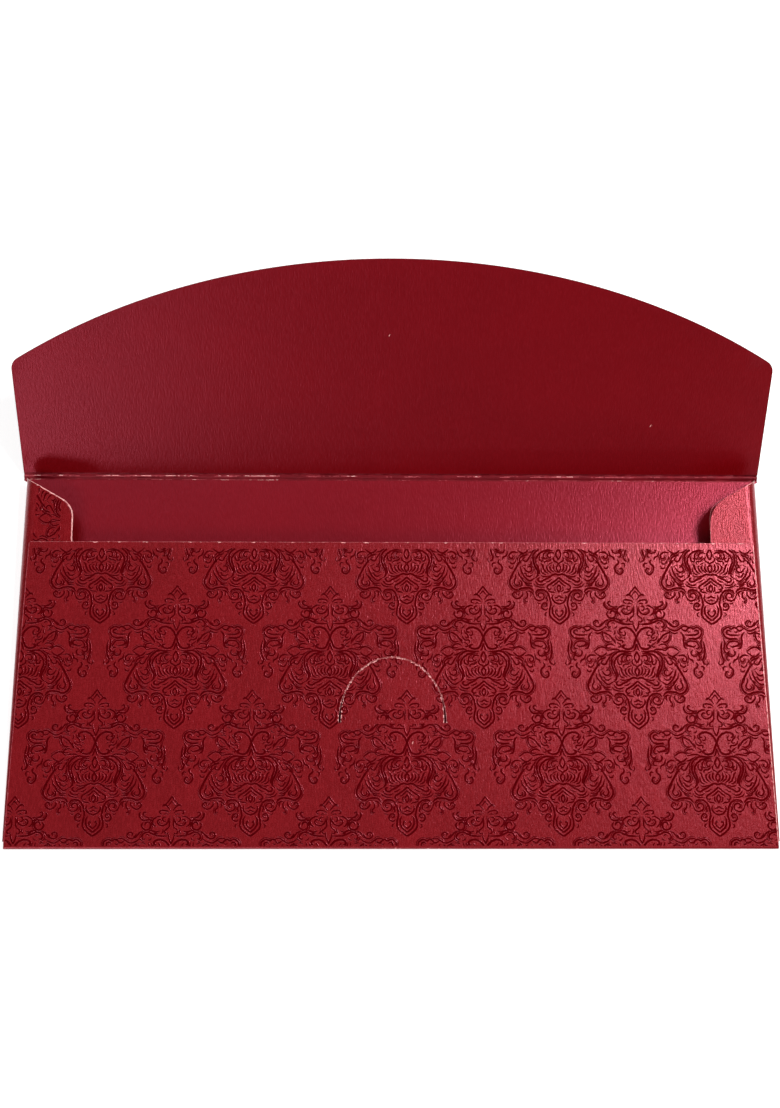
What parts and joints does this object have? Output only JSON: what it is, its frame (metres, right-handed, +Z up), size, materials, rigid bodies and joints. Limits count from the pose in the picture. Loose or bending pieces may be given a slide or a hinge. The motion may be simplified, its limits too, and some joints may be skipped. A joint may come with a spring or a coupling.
{
  "type": "gift money envelope",
  "caption": "Wide gift money envelope of folded card, with a pocket whose mouth gapes, slanted side tabs, a double-scored arched flap and a half-moon tuck tongue.",
  "frame": {"origin": "middle of the back panel's underside, where the envelope rests", "axes": "+X along the width, +Y from the bottom fold towards the flap, +Z up, out of the pocket's face"},
  "size_m": [0.18, 0.1275, 0.0437],
  "materials": {
    "pearl_card": "deep red pearlescent face of the card, fine vertical grain",
    "satin_card": "smooth satin red inner face of the card",
    "damask_ink": "dark maroon scroll pattern, slightly raised and glossy",
    "card_core": "pale pink fibre of the card where it is cut or cracked",
    "dried_glue": "thin dried glue line"
  },
  "bodies": {
    "back": {"back_panel": "satin_card", "bottom_fold": "pearl_card", "side_fold_left": "pearl_card", "side_fold_right": "pearl_card"},
    "pocket": {"pocket_panel": "pearl_card", "side_tab_left": "pearl_card", "side_tab_right": "pearl_card", "glue_seam_left": "dried_glue", "glue_seam_right": "dried_glue"},
    "tongue": {"tuck_tongue": "pearl_card"},
    "spine": {"flap_spine": "satin_card"},
    "flap": {"closure_flap": "satin_card"}
  },
  "joints": [
    {"name": "spine_fold", "type": "hinge", "parent": "back", "child": "spine", "pos_m": [0, 0.0445, 0], "axis": [1, 0, 0], "range_deg": [-24.5, 65.5]},
    {"name": "flap_fold", "type": "hinge", "parent": "spine", "child": "flap", "pos_m": [0, 0.04571, 0.00055], "axis": [1, 0, 0], "range_deg": [-24.5, 65.5]},
    {"name": "pocket_gape", "type": "hinge", "parent": "back", "child": "pocket", "pos_m": [0, -0.04403, 0.00047], "axis": [1, 0, 0], "range_deg": [-3.67, 1.38], "deforming": ["side_fold_left", "side_fold_right"]},
    {"name": "tongue_lift", "type": "hinge", "parent": "pocket", "child": "tongue", "pos_m": [0, -0.01562, 0.00275], "axis": [1, 0, 0], "range_deg": [0, 35], "stiffness_Nm_per_rad": 0.001}
  ],
  "couplings": [
    {"joint": "spine_fold", "follows": "flap_fold", "ratio": 1},
    {"joint": "pocket_gape", "follows": "flap_fold", "ratio": -0.05594}
  ]
}
